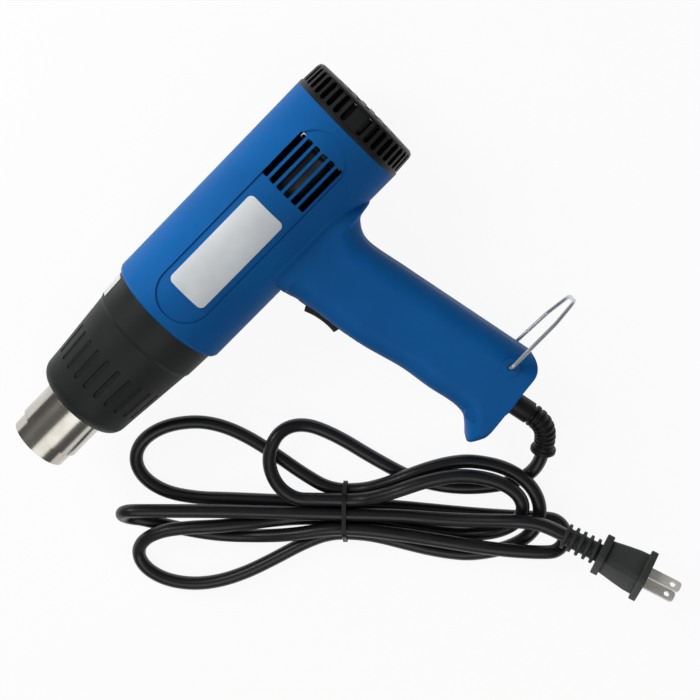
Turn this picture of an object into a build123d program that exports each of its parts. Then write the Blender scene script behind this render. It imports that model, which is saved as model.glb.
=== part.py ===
from build123d import *
from math import asin, atan2, ceil, copysign, cos, degrees, pi, radians, sin, sqrt, tan
import os

# A pistol heat tool that lies on its right side on a table, with its mains lead tied in a bundle.
# The tool is drawn in its own frame and then laid down: X runs along the barrel from the nozzle
# to the rear cap, Y points up from the handle to the barrel, and Z points out of the left side.
# All lengths are millimetres and all angles degrees.

# Shared clearances
slip = 0.3
running = 0.05
overrun = 1.0

# Barrel of the housing
barrel_radius = 36.0
barrel_length = 141.0
housing_wall = 2.6
front_round = 2.6
front_wall = 3.0
spigot_radius = 30.0
spigot_length = 8.0

# Handle of the housing
handle_lean = 11.2
handle_front = 46.8
handle_depth = 48.8
handle_half_width = 21.0
handle_end_half_width = 19.2
handle_corner = 13.0
handle_reach = 168.6
handle_end_tilt = 7.3
neck_front_round = 8.0
neck_rear_round = 20.0
neck_side_round = 11.0
neck_side_sink = 0.5
neck_top = 26.0
front_hollow = 1.7
front_crest = 84.0
front_wave = 64.0
toe_forward = 11.5
toe_start = 152.0
toe_height = 14.0
end_rear_round = 8.0
rib_thickness = 2.0
wire_channel = 12.0

# Side panels with the air slots and the label
panel_front = 6.0
panel_rear = 135.0
panel_half_height = 16.0
panel_corner = 15.0
panel_depth = 0.8
vent_count = 6
vent_length = 30.0
vent_height = 3.6
vent_pitch = 5.25
vent_corner = 0.8
vent_rise = 1.0
vent_centre = 110.5
label_length = 63.0
label_height = 24.0
label_corner = 3.0
label_thickness = 0.35
label_centre = 52.5

# Screws that hold the two halves together
screw_radius = 1.5
screw_head_radius = 2.9
screw_head_height = 2.0
screw_length = 22.0
screw_boss_radius = 4.6
front_boss_place = 12.0
top_boss_place = 106.0
rear_boss_place = 128.0
handle_boss_below = 105.0
handle_boss_behind = 13.0
toe_boss_below = 157.0
toe_boss_behind = 8.5

# Front collar
collar_rear_radius = 33.4
collar_step_radius = 32.7
collar_step_place = 17.0
collar_step_length = 2.0
collar_step_height = 0.8
collar_grip_radius = 28.9
collar_grip_end = 54.0
collar_lip_radius = 27.5
collar_lip_round = 8.6
collar_length = 73.5
collar_wall = 2.8
groove_count = 24
groove_radius = 1.5
groove_sink = 0.5
groove_front = 56.0
groove_rear = 35.0
sticker_length = 13.5
sticker_inset = 1.6
sticker_angle = 50.0
sticker_turn = 92.0
sticker_thickness = 0.25

# Nozzle and its mica liner
nozzle_radius = 18.7
nozzle_tip_radius = 17.3
nozzle_wall = 0.6
nozzle_tip_length = 8.5
nozzle_reach = 106.0
nozzle_flange_radius = 30.0
liner_thickness = 0.6
liner_gap = 2.0

# Heating element
board_thickness = 1.0
board_half_span = 12.2
board_length = 88.0
coil_turns = 16
coil_wire_radius = 0.5
coil_pitch = 4.0
base_thickness = 4.0
base_rim = 2.0
base_spoke = 4.0
base_hub_radius = 6.0
base_rear = 10.0
cutout_radius = 3.0
cutout_length = 12.0

# Air duct, fan and motor
duct_wall = 1.6
duct_mouth_length = 9.0
duct_front = 12.0
duct_cone_end = 56.0
duct_rear = 82.0
duct_rib_front = 60.0
duct_rib_rear = 76.0
fan_radius = 26.0
fan_gap = 0.8
fan_front = 64.0
fan_length = 14.0
fan_hub_radius = 7.0
fan_blades = 9
blade_thickness = 1.2
blade_pitch = 42.0
shaft_radius = 1.6
shaft_length = 34.0
motor_radius = 18.0
motor_length = 36.0
motor_boss_radius = 5.0
motor_boss_length = 3.0
motor_bore_depth = 16.0
mount_thickness = 2.5
mount_rim = 3.0
mount_hub_radius = 12.0
mount_spokes = 4
mount_spoke_width = 4.0
circuit_radius = 15.0
circuit_thickness = 1.6
diode_radius = 1.4
diode_length = 7.0
diode_spread = 6.0

# Rear cap and intake screen
cap_step = 0.6
cap_rim_length = 2.2
cap_length = 16.0
cap_wall = 2.0
cap_end_wall = 2.4
cap_edge = 3.0
cap_seat = 5.0
cap_slot_places = 40
cap_slot_group = 10
cap_slot_width = 3.5
cap_slot_front = 3.0
cap_slot_rear = 14.4
cap_dome = 1.2
face_slot_count = 7
face_slot_width = 3.0
face_slot_pitch = 6.4
face_slot_radius = 26.0
screen_thickness = 1.0
screen_pitch = 6.5
screen_hole = 4.6
screen_rim = 3.0

# Rocker switch in the front of the handle
switch_below = 62.35
switch_face = 59.65
switch_lean = 9.0
flange_half_length = 16.4
flange_half_width = 7.2
flange_thickness = 1.2
flange_round = 1.0
switch_half_length = 13.8
switch_half_width = 6.4
switch_depth = 23.0
cavity_depth = 8.0
rocker_swing_radius = 11.6
rocker_half_width = 4.7
rocker_pivot_depth = 2.5
rocker_tip_height = 3.4
rocker_dip_height = 2.1
rocker_skirt = 2.0
rocker_hub_radius = 2.4
trunnion_radius = 1.0
trunnion_length = 1.0
terminal_length = 7.0
terminal_width = 4.8
terminal_thickness = 0.8
terminal_pitch = 8.0

# Wire bail at the end of the handle
bail_below = 152.6
bail_behind = 113.9
bail_wire_radius = 1.1
bail_hole_radius = 1.6
bail_boss_radius = 5.0
bail_reach = 49.4
bail_bend_reach = 34.0
bail_half_width = 22.6
bail_bend_half_width = 18.6
bail_tip_half_width = 10.2
bail_inner_end = 11.0
bail_corner = 2.6
bail_bend_round = 10.0
bail_tip_round = 6.0
bail_eye_height = 0.6

# Strain relief and the lead inside the handle
cord_radius = 4.0
relief_forward = 5.2
relief_radius = 6.5
relief_plain_length = 13.0
relief_core_radius = 5.2
relief_rib_radius = 6.3
relief_ribs = 7
relief_rib_share = 0.55
relief_head_radius = 7.6
relief_head_length = 3.6
relief_flange_radius = 9.0
relief_flange_thickness = 2.4
relief_flange_gap = 0.9
relief_collar_radius = 9.6
relief_collar_height = 2.6
tail_length = 22.0
clamp_length = 20.0
clamp_width = 8.0
clamp_height = 6.5
clamp_inside = 10.0
clamp_post_radius = 2.8
clamp_screw_radius = 1.2
clamp_screw_length = 12.0
clamp_head_radius = 2.4
clamp_head_height = 1.6
clamp_spread = 7.3
wire_radius = 1.2
wire_gap = 1.2

# Routes of the inner wires in the tool's frame
live_route = [(91.5, -130.0, 3.0), (97.0, -100.0, 6.0), (102.0, -76.0, 3.0), (99.0, -67.5, 0.0)]
neutral_route = [
    (91.5, -130.0, -4.0), (96.0, -100.0, -9.0), (97.5, -72.0, -9.0), (99.0, -52.0, -8.0),
    (102.5, -39.0, -6.0), (110.0, -28.0, -4.0), (119.0, -21.5, -3.0), (126.5, -19.5, -2.0),
    (128.0, -14.0, -1.6)]
switched_route = [
    (96.0, -48.4, 1.0), (101.0, -41.0, 3.0), (110.0, -27.0, 6.0), (119.0, -21.0, 6.0),
    (126.5, -19.5, 4.5), (128.0, -14.0, 3.0)]
heater_route = [
    (97.0, -56.0, 3.0), (100.0, -46.0, 7.0), (95.0, -36.0, 7.0), (84.0, -31.2, 6.0),
    (66.0, -31.4, 4.5), (48.0, -30.5, 3.0), (35.0, -26.0, 1.0), (28.5, -17.5, 0.0), (20.0, -11.5, 0.0)]
duct_hole_radius = 3.6
duct_hole_place = 31.5
bend_share = 0.45

# Plug
plug_relief_length = 22.0
plug_relief_radius = 5.4
plug_fins = 5
plug_fin_radius = 7.3
plug_fin_thickness = 1.8
plug_flange_thickness = 3.4
plug_flange_half_width = 10.6
plug_flange_half_height = 8.8
plug_body_length = 21.6
plug_neck_half_width = 8.4
plug_neck_half_height = 7.2
plug_waist_half_width = 11.2
plug_waist_half_height = 9.2
plug_face_half_width = 13.2
plug_face_half_height = 10.8
plug_face_thickness = 3.4
plug_round = 3.0
plug_roll = 49.0
blade_length = 18.0
blade_width = 6.35
blade_gauge = 1.5
blade_spacing = 12.7
blade_hole_radius = 1.6
blade_hole_place = 13.5
blade_tip_round = 2.0
blade_root = 6.0

# Tie round the bundle
tie_width = 2.4
tie_thickness = 1.0

# Bundled lead: the bundle is drawn in its own frame, whose u runs along the bundle, v across
# it and z up from the table, from the middle of the tie
bundle_place = (-16.0, -152.4)
bundle_turn = -45.0
lay = cord_radius + slip
waist_pitch = 8.6
waist_low = 6.0
waist_high = 13.6
waist_half = 9.0
crossing = lay + 9.0
upper = crossing + 7.4
draw_in = 1.3
side_steps = 5
nose_steps = 6
loop_places = 2 * side_steps + nose_steps - 1

# Strands in the tie: half pitches across, height
strand_places = {
    "lead": (2, waist_high), "first": (-1, waist_low), "second": (-3, waist_low),
    "third": (3, waist_low), "fourth": (1, waist_low), "fifth": (-2, waist_high),
    "plug": (0, waist_high)}

# Loops of the bundle in their order: side, shoulder, nose, strand in, strand out, side of the
# way out, side of the way back, bow
loop_sizes = [
    (1, 70.0, 33.0, "lead", "first", 26.0, -12.5, 0.0),
    (-1, 92.0, 32.0, "first", "second", -9.5, -46.5, 1.0),
    (1, 74.0, 39.0, "second", "third", -24.5, 33.0, 0.0),
    (-1, 88.0, 37.0, "third", "fourth", 52.0, 6.0, 0.0),
    (1, 117.0, 10.0, "fourth", "fifth", -2.0, -19.0, 0.0),
    (-1, 121.0, 10.0, "fifth", "plug", -7.5, 1.5, -8.8)]

# Heights of each loop: the way out, the nose and the way back
loop_heights = [
    (18.2, upper + 0.6, upper + 0.6, upper + 0.6, upper, 20.5, 19.0, 17.0, 14.6, 9.6,
     4.9, lay, lay, lay, lay),
    (lay, 6.0, 10.8, crossing + 0.2, crossing + 0.4, 13.4, 10.0, 5.5, lay, lay,
     lay, lay, lay, lay, lay),
    (lay, lay, lay, lay, lay, lay, 11.2, crossing + 0.8, crossing, crossing,
     crossing, crossing, crossing + 0.2, crossing + 0.2, 10.6),
    (lay,) * loop_places,
    (lay, lay, lay, lay, lay, 4.9, 6.8, 10.0, 13.0, 15.6,
     17.0, 17.4, 15.5, crossing + 0.3, crossing + 0.3),
    (10.5, lay, lay, lay, lay, 5.4, 8.3, 12.3, 16.3, 19.2,
     20.3, 18.5, 16.0, 14.5, 13.8)]

# Free stretches of the lead in the bundle's frame
lead_points = [
    (113.0, 38.0, 9.0), (111.5, 28.0, 5.2), (97.0, 18.0, 4.3), (68.0, 14.2, 4.3),
    (41.0, 18.5, 4.3), (17.0, 31.0, 4.3), (-6.0, 45.0, 4.3), (-25.0, 52.5, 7.0),
    (-39.0, 48.0, 13.3), (-44.8, 32.0, 13.6), (-40.0, 17.0, 13.8), (-29.0, 8.6, 13.6),
    (-17.0, 8.6, 13.6)]
plug_points = [
    (17.0, 0.0, 13.6), (32.0, 0.0, 13.6), (55.0, -1.0, 15.5), (77.0, -0.6, 19.4),
    (93.7, 0.7, 23.4), (105.7, 0.9, 25.4), (115.4, -1.4, 25.3), (124.6, -5.6, 27.4)]

# Places that follow from the sizes above
barrel_bore = barrel_radius - housing_wall
lean_slope = tan(radians(handle_lean))
duct_radius = fan_radius + fan_gap
flange_place = front_wall + slip
nozzle_shoulder = nozzle_reach - nozzle_tip_length
liner_radius = nozzle_radius - nozzle_wall - slip
liner_front = nozzle_shoulder - liner_gap
base_radius = liner_radius - liner_thickness - slip
base_front = base_rear - base_thickness
board_rear = base_front - slip
coil_radius = board_half_span + slip / 2 + coil_wire_radius
mount_front = duct_rear + slip
motor_front = mount_front + mount_thickness + slip
motor_rear = motor_front + motor_length
circuit_front = motor_rear + slip
cap_rear = barrel_length + cap_length
cap_rim_radius = barrel_radius
cap_radius = cap_rim_radius - cap_step
leg_face = bail_half_width + bail_wire_radius
roll = asin(barrel_radius / sqrt(bail_below ** 2 + leg_face ** 2)) - atan2(leg_face, bail_below)


def ring(start, end, outer, inner=0.0):
    tube = Pos((start + end) / 2, 0, 0) * Rot(0, 90, 0) * Cylinder(outer, abs(end - start))
    if inner:
        longer = abs(end - start) + 2 * overrun
        tube -= Pos((start + end) / 2, 0, 0) * Rot(0, 90, 0) * Cylinder(inner, longer)
    return tube


def turned(*profile):
    return revolve(make_face(Polyline(*profile, close=True)), Axis.X)


def block(low, high):
    size = [b - a for a, b in zip(low, high)]
    middle = [(a + b) / 2 for a, b in zip(low, high)]
    return Pos(*middle) * Box(*size)


def post(x, y, low, high, radius):
    return Pos(x, y, (low + high) / 2) * Cylinder(radius, high - low)


def bent_wire(points, radii, radius):
    path = FilletPolyline(*points, radius=radii)
    return sweep(Plane(origin=path @ 0, z_dir=path % 0) * Circle(radius), path=path)


# Housing

def flare(below, start, rounding):
    depth = min(max(below - start, 0.0), rounding)
    return rounding - sqrt(rounding ** 2 - (rounding - depth) ** 2)


def handle_edges(below):
    toe_share = min(max((below - toe_start) / toe_height, 0.0), 1.0)
    wave_share = (1 - cos(2 * pi * (below - front_crest) / front_wave)) / 2
    if below > front_crest + front_wave:
        wave_share = 0.0
    front = handle_front + lean_slope * below + front_hollow * wave_share
    front -= flare(below, barrel_radius, neck_front_round) + toe_forward * toe_share ** 1.5
    rear = handle_front + handle_depth + lean_slope * below
    rear += flare(below, barrel_radius, neck_rear_round)
    return front, rear


def handle_section(below, inset):
    front, rear = handle_edges(below)
    width_share = max(0.0, (below - barrel_radius) / (handle_reach - barrel_radius))
    half = handle_half_width + (handle_end_half_width - handle_half_width) * width_share
    round_centre = sqrt((barrel_radius + neck_side_round) ** 2 - (handle_half_width + neck_side_round) ** 2)
    half += flare(below, round_centre - neck_side_round - neck_side_sink, neck_side_round)
    neck_share = flare(below, barrel_radius, neck_rear_round) / neck_rear_round
    corner = handle_corner + (handle_half_width - overrun - handle_corner) * neck_share
    outline = RectangleRounded(rear - front - 2 * inset, 2 * (half - inset), corner - inset)
    place = Plane(origin=((front + rear) / 2, -below, 0), x_dir=(1, 0, 0), z_dir=(0, -1, 0))
    return place * outline


def handle_solid(inset):
    side_shares = (0.0, 0.35, 0.7)
    neck_shares = (0.0, 0.1, 0.25, 0.45, 0.7, 1.0)
    grip_shares = (0.15, 0.3, 0.45, 0.6, 0.8, 1.0)
    toe_shares = (0.2, 0.4, 0.6, 0.8, 1.0, 1.3, 1.7)
    neck_end = barrel_radius + neck_rear_round
    stations = [neck_top + (barrel_radius - neck_top) * share for share in side_shares]
    stations += [barrel_radius + neck_rear_round * share for share in neck_shares]
    stations += [neck_end + (toe_start - neck_end) * share for share in grip_shares]
    stations += [toe_start + toe_height * share for share in toe_shares]
    return loft([handle_section(below, inset) for below in stations])


def end_point(along, inward):
    turn = radians(handle_end_tilt)
    middle = handle_front + handle_depth / 2 + lean_slope * handle_reach
    return (middle + along * cos(turn) - inward * sin(turn),
            -handle_reach + along * sin(turn) + inward * cos(turn))


def end_trim(inset):
    rear_gap = (end_rear_round - inset) * (1 + sin(radians(handle_lean + handle_end_tilt)))
    front = end_point(-handle_depth, inset)
    corner_start = end_point(handle_depth / 2 - rear_gap, inset)
    lean = radians(handle_lean)
    corner = end_point(handle_depth / 2 - inset, inset)
    corner_end = (corner[0] - rear_gap * sin(lean), corner[1] + rear_gap * cos(lean))
    far = handle_reach + barrel_radius
    round_edge = TangentArc(corner_start, corner_end,
                            tangent=(cos(radians(handle_end_tilt)), sin(radians(handle_end_tilt))))
    beyond = corner_end[0] + handle_depth
    side = Polyline(corner_end, (beyond, corner_end[1]), (beyond, far), (front[0], far), front, corner_start)
    return extrude(make_face(round_edge + side), amount=2 * barrel_radius, both=True)


def relief_plane():
    place = end_point(-relief_forward, 0)
    lean = radians(handle_lean)
    return Plane(origin=(*place, 0), x_dir=(0, 0, 1), z_dir=(sin(lean), -cos(lean), 0))


def switch_plane():
    lean = radians(switch_lean)
    out = (-cos(lean), -sin(lean), 0)
    seat = (switch_face - out[0] * flange_thickness, -switch_below - out[1] * flange_thickness, 0)
    return Plane(origin=seat, x_dir=out, z_dir=(0, 0, 1))


def panel_tool(inner, outer):
    length = panel_rear - panel_front
    outline = RectangleRounded(length, 2 * panel_half_height, panel_corner)
    column = extrude(Pos((panel_front + panel_rear) / 2, 0) * outline, amount=2 * barrel_radius, both=True)
    return column & ring(panel_front - overrun, panel_rear + overrun, outer, inner)


def handle_middle(below):
    return handle_front + handle_depth / 2 + lean_slope * below


def screw_places():
    near_wall = barrel_bore - screw_boss_radius
    return [(front_boss_place, near_wall), (front_boss_place, -near_wall),
            (top_boss_place, near_wall), (rear_boss_place, -near_wall),
            (handle_middle(handle_boss_below) + handle_boss_behind, -handle_boss_below),
            (handle_middle(toe_boss_below) - toe_boss_behind - handle_depth / 4, -toe_boss_below)]


def clamp_place():
    return relief_plane() * Pos(0, 0, -clamp_inside - clamp_width / 2)


def duct_rib(start):
    rib = ring(start, start + rib_thickness, barrel_bore + slip, duct_radius + duct_wall + slip)
    return rib - block((start - overrun, -barrel_radius, -wire_channel),
                       (start + rib_thickness + overrun, 0, wire_channel))


def housing_shell():
    outer = turned(
        (0, 0), (0, barrel_radius - front_round), (front_round / 3, barrel_radius - front_round / 3),
        (front_round, barrel_radius), (barrel_length, barrel_radius), (barrel_length, 0))
    outer += handle_solid(0) & end_trim(0)
    outer += relief_plane() * Pos(0, 0, relief_collar_height / 2 - housing_wall / 2) * Cylinder(
        relief_collar_radius, relief_collar_height + housing_wall)
    outer -= panel_tool(barrel_radius - panel_depth, barrel_radius + overrun)
    shell = outer - ring(front_wall, barrel_length + overrun, barrel_bore)
    shell -= handle_solid(housing_wall) & end_trim(housing_wall)
    shell += ring(-spigot_length, front_wall, spigot_radius)
    shell -= ring(-spigot_length - overrun, front_wall + overrun, spigot_radius - housing_wall)
    flange_end = flange_place + nozzle_wall + slip
    shell += ring(flange_end, flange_end + rib_thickness,
                  barrel_bore + slip, nozzle_flange_radius - rib_thickness)
    for start in (duct_rib_front, duct_rib_rear):
        shell += duct_rib(start)
    return shell


def screw_posts():
    posts = []
    room = ring(0, barrel_length, barrel_radius - housing_wall / 2)
    reach = handle_end_half_width - housing_wall / 2
    for x, y in screw_places():
        if y > -barrel_radius:
            posts.append(post(x, y, -barrel_radius, barrel_radius, screw_boss_radius) & room)
        else:
            posts.append(post(x, y, -reach, reach, screw_boss_radius))
    for side in (-1, 1):
        leg = clamp_place() * Pos(-handle_half_width / 2, side * clamp_spread, 0)
        posts.append(leg * Rot(0, 90, 0) * Cylinder(clamp_post_radius, handle_half_width - 2 * housing_wall))
    return posts


def housing_cuts():
    cuts = []
    for place in range(vent_count):
        y = vent_rise + (place - (vent_count - 1) / 2) * vent_pitch
        slot = Pos(vent_centre, y) * RectangleRounded(vent_length, vent_height, vent_corner)
        cuts.append(extrude(slot, amount=2 * barrel_radius, both=True))
    cuts.append(switch_plane() * block(
        (-switch_depth, -switch_half_length - slip / 2, -switch_half_width - slip / 2),
        (overrun, switch_half_length + slip / 2, switch_half_width + slip / 2)))
    cuts.append(switch_plane() * block(
        (0, -flange_half_length - slip / 2, -flange_half_width - slip / 2),
        (barrel_radius / 2, flange_half_length + slip / 2, flange_half_width + slip / 2)))
    reach = 2 * (relief_collar_height + housing_wall)
    cuts.append(relief_plane() * Cylinder(relief_radius + slip, 2 * reach))
    for x, y in screw_places():
        cuts.append(post(x, y, -2 * barrel_radius, screw_length / 2 + overrun, screw_radius + running))
        cuts.append(post(x, y, -2 * barrel_radius, -screw_length / 2, screw_head_radius + slip))
    eye = handle_end_half_width + bail_eye_height + overrun
    cuts.append(post(bail_behind, -bail_below, -eye, eye, bail_hole_radius))
    for side in (-1, 1):
        hole = clamp_place() * Pos(0, side * clamp_spread, 0) * Rot(0, 90, 0)
        cuts.append(hole * Cylinder(clamp_screw_radius + running, 2 * clamp_screw_length))
    return cuts


def housing_halves():
    shell = housing_shell()
    for solid in screw_posts():
        shell += solid
    eye = handle_end_half_width + bail_eye_height
    shell += post(bail_behind, -bail_below, -eye, eye, bail_boss_radius)
    shell -= housing_cuts()
    far = handle_reach + barrel_radius
    left = shell & block((-far, -far, 0), (far, far, 2 * barrel_radius))
    return left, shell & block((-far, -far, -2 * barrel_radius), (far, far, 0))


def housing_screws():
    screws = []
    for x, y in screw_places():
        seat = -screw_length / 2
        screw = post(x, y, seat, -seat, screw_radius)
        screw += post(x, y, seat - screw_head_height, seat, screw_head_radius)
        for width, height in ((screw_radius / 2, 2 * screw_radius), (2 * screw_radius, screw_radius / 2)):
            screw -= Pos(x, y, seat - screw_head_height) * Box(width, height, screw_head_height)
        screws.append(screw)
    return Compound(screws)


def label_plate():
    outline = RectangleRounded(label_length, label_height, label_corner)
    column = extrude(Pos(label_centre, 0) * outline, amount=2 * barrel_radius)
    seat = barrel_radius - panel_depth + running
    return column & ring(0, barrel_length, seat + label_thickness, seat)


# Front collar

def collar_profile(inset):
    step = collar_step_place + collar_step_length
    grip = collar_step_radius - collar_step_height
    face = make_face(Polyline(
        (0, 0), (0, collar_rear_radius - inset), (-collar_step_place, collar_step_radius - inset),
        (-step, grip - inset), (-collar_grip_end, collar_grip_radius - inset),
        (-collar_length + inset, collar_lip_radius - inset), (-collar_length + inset, 0), close=True))
    corner = face.vertices().sort_by_distance((-collar_length + inset, collar_lip_radius - inset))[0]
    return revolve(fillet(corner, collar_lip_round - inset), Axis.X)


def groove(turn):
    slope = atan2(collar_step_radius - collar_step_height - collar_grip_radius,
                  collar_grip_end - collar_step_place - collar_step_length)
    middle = (groove_front + groove_rear) / 2
    length = groove_front - groove_rear - 2 * groove_radius
    height = collar_grip_radius + (collar_grip_end - middle) * tan(slope) + groove_sink
    bar = Cylinder(groove_radius, length)
    for end in (-length / 2, length / 2):
        bar += Pos(0, 0, end) * Sphere(groove_radius)
    return Rot(turn, 0, 0) * Pos(-middle, height, 0) * Rot(0, 0, degrees(slope)) * Rot(0, 90, 0) * bar


def front_collar():
    collar = collar_profile(0) - collar_profile(collar_wall)
    collar -= ring(-spigot_length - slip, overrun, spigot_radius + slip / 2)
    collar -= ring(-collar_length - overrun, 0, nozzle_radius + slip)
    for place in range(groove_count):
        collar -= groove(360 / groove_count * (place + 1 / 2))
    return collar


def collar_sticker():
    slope = (collar_rear_radius - collar_step_radius) / collar_step_place
    rear, front = -sticker_inset, -sticker_inset - sticker_length
    profile = [(x, collar_rear_radius + x * slope + running + lift)
               for x, lift in ((rear, 0), (rear, sticker_thickness), (front, sticker_thickness), (front, 0))]
    band = revolve(make_face(Polyline(*profile, close=True)), Axis.X, revolution_arc=sticker_angle)
    return Rot(90 - sticker_turn - sticker_angle / 2, 0, 0) * band


# Nozzle and heater

def nozzle_tube():
    tip = nozzle_reach
    tube = turned(
        (-tip, nozzle_tip_radius - nozzle_wall), (-tip, nozzle_tip_radius),
        (-nozzle_shoulder, nozzle_tip_radius), (-nozzle_shoulder + nozzle_wall, nozzle_radius),
        (flange_place, nozzle_radius), (flange_place, nozzle_flange_radius),
        (flange_place + nozzle_wall, nozzle_flange_radius), (flange_place + nozzle_wall, nozzle_radius),
        (duct_front + duct_mouth_length - overrun, nozzle_radius),
        (duct_front + duct_mouth_length - overrun, nozzle_radius - nozzle_wall),
        (-nozzle_shoulder + nozzle_wall, nozzle_radius - nozzle_wall),
        (-nozzle_shoulder, nozzle_tip_radius - nozzle_wall))
    return tube


def mica_sleeve():
    return ring(-liner_front, base_rear, liner_radius, liner_radius - liner_thickness)


def heater_frame():
    front, rear = board_rear - board_length, board_rear
    half = board_thickness / 2
    flat = block((front, -board_half_span, -half), (rear, board_half_span, half))
    return flat + block((front, -half, -board_half_span), (rear, half, board_half_span))


def coil_tangent(turn):
    climb = coil_pitch / (2 * pi)
    return Vector(climb, -coil_radius * sin(turn), coil_radius * cos(turn)).normalized()


def heater_coil():
    start = board_rear - (board_length + coil_turns * coil_pitch) / 2
    steps = [radians(90) * step for step in range(4 * coil_turns + 1)]
    points = [Vector(start + coil_pitch * turn / (2 * pi), coil_radius * cos(turn), coil_radius * sin(turn))
              for turn in steps]
    path = Wire(biarcs(points, [coil_tangent(turn) for turn in steps]))
    return sweep(Plane(origin=points[0], z_dir=coil_tangent(0)) * Circle(coil_wire_radius), path=path)


def heater_base_disc():
    rim = ring(base_front, base_rear, base_radius, base_radius - base_rim)
    hub = ring(base_front, base_rear, base_hub_radius)
    half = base_spoke / 2
    across = base_radius - base_rim / 2
    spokes = block((base_front, -across, -half), (base_rear, across, half))
    spokes += block((base_front, -half, -across), (base_rear, half, across))
    return rim + hub + spokes


def thermal_cutout():
    start = base_rear + slip
    return ring(start, start + cutout_length, cutout_radius)


# Duct, fan and motor

def air_duct():
    mouth = nozzle_radius + slip
    neck = duct_front + duct_mouth_length
    duct = turned(
        (duct_front, mouth), (neck, mouth), (duct_cone_end, duct_radius), (duct_rear, duct_radius),
        (duct_rear, duct_radius + duct_wall), (duct_cone_end, duct_radius + duct_wall),
        (neck, mouth + duct_wall), (duct_front, mouth + duct_wall))
    hole = Pos(duct_hole_place, -duct_radius, 0) * Rot(90, 0, 0) * Cylinder(duct_hole_radius, duct_radius)
    return duct - hole


def motor_shaft():
    start = fan_front - overrun
    return ring(start, start + shaft_length, shaft_radius)


def fan_impeller():
    fan = ring(fan_front, fan_front + fan_length, fan_hub_radius)
    span = fan_radius - fan_hub_radius / 2
    for place in range(fan_blades):
        blade = Pos(fan_front + fan_length / 2, fan_radius - span / 2, 0) * Rot(0, blade_pitch, 0) * Box(
            fan_length / cos(radians(blade_pitch)), span, blade_thickness)
        fan += Rot(360 / fan_blades * place, 0, 0) * blade
    fan &= ring(fan_front, fan_front + fan_length, fan_radius)
    return fan - ring(fan_front - overrun, fan_front + fan_length + overrun, shaft_radius + running)


def motor_mount():
    rear = mount_front + mount_thickness
    plate = ring(mount_front, rear, duct_radius + duct_wall, duct_radius + duct_wall - mount_rim)
    plate += ring(mount_front, rear, mount_hub_radius)
    across = duct_radius + duct_wall - mount_rim / 2
    for place in range(mount_spokes // 2):
        spoke = block((mount_front, -across, -mount_spoke_width / 2), (rear, across, mount_spoke_width / 2))
        plate += Rot(180 / mount_spokes * (2 * place + 1), 0, 0) * spoke
    return plate - ring(mount_front - overrun, rear + overrun, motor_boss_radius + slip)


def motor_can():
    can = ring(motor_front, motor_rear, motor_radius)
    can = fillet(can.edges().filter_by(GeomType.CIRCLE), overrun)
    can += ring(motor_front - motor_boss_length, motor_front + overrun, motor_boss_radius)
    bore_start = motor_front - motor_boss_length
    return can - ring(bore_start - overrun, bore_start + motor_bore_depth, shaft_radius + running)


def circuit_board():
    rear = circuit_front + circuit_thickness
    board = ring(circuit_front, rear, circuit_radius)
    for side in (-1, 1):
        for row in (-1, 1):
            diode = Pos(rear + diode_radius / 2, side * diode_spread, row * diode_spread)
            board += diode * Rot(90, 0, 0) * Cylinder(diode_radius, diode_length)
    return board


# Rear cap

def side_slot():
    middle = barrel_length + (cap_slot_front + cap_slot_rear) / 2
    slot = Pos(middle, 0) * SlotOverall(cap_slot_rear - cap_slot_front, cap_slot_width)
    return extrude(slot, amount=2 * barrel_radius)


def face_slot(place):
    offset = (place - (face_slot_count - 1) / 2) * face_slot_pitch
    length = 2 * sqrt(face_slot_radius ** 2 - offset ** 2)
    slot = Pos(offset, 0) * SlotOverall(length, face_slot_width, rotation=90)
    inside = cap_rear - cap_end_wall - overrun
    return Plane(origin=(inside, 0, 0), x_dir=(0, 1, 0), z_dir=(1, 0, 0)) * extrude(slot, amount=cap_length)


def rear_cap():
    rim = barrel_length + cap_rim_length
    seat = barrel_bore - slip / 2
    cap = turned(
        (barrel_length - cap_seat, 0), (barrel_length - cap_seat, seat), (barrel_length, seat),
        (barrel_length, cap_rim_radius), (rim, cap_rim_radius), (rim, cap_radius),
        (cap_rear - cap_edge, cap_radius - cap_dome / 2), (cap_rear - cap_edge / 3, cap_radius - cap_dome),
        (cap_rear, cap_radius - cap_edge), (cap_rear + cap_dome, 0))
    cap -= ring(barrel_length - cap_seat - overrun, cap_rear - cap_end_wall, seat - cap_wall)
    for place in range(cap_slot_places):
        if place % cap_slot_group:
            cap -= Rot(360 / cap_slot_places * place, 0, 0) * side_slot()
    for place in range(face_slot_count):
        cap -= face_slot(place)
    return cap


def intake_screen():
    outer = barrel_bore - cap_wall - slip
    rear = cap_rear - cap_end_wall - slip
    screen = ring(rear - screen_thickness, rear, outer)
    screen += ring(barrel_length - cap_seat + slip, rear, outer, outer - screen_thickness)
    holes = []
    reach = ceil(outer / screen_pitch)
    for row in range(-reach, reach + 1):
        for column in range(-reach, reach + 1):
            y = (column + row % 2 / 2) * screen_pitch
            z = row * screen_pitch * sqrt(3) / 2
            if sqrt(y ** 2 + z ** 2) < outer - screen_rim - screen_hole / 2:
                hole = Cylinder(screen_hole / 2, 3 * screen_thickness)
                holes.append(Pos(rear, y, z) * Rot(0, 90, 0) * hole)
    return screen - holes


# Rocker switch, drawn in the frame of its seat: X out of the handle, Y down the handle

def switch_body():
    case = block((-switch_depth, -switch_half_length, -switch_half_width),
                 (0, switch_half_length, switch_half_width))
    flange = block((0, -flange_half_length, -flange_half_width),
                   (flange_thickness, flange_half_length, flange_half_width))
    case += fillet(flange.edges().filter_by(Axis.X), flange_round)
    opening = rocker_swing_radius + slip
    case -= block((-cavity_depth, -opening, -rocker_half_width - slip),
                  (flange_thickness + overrun, opening, rocker_half_width + slip))
    return case - rocker_axle(trunnion_radius + running, trunnion_length + slip)


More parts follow.
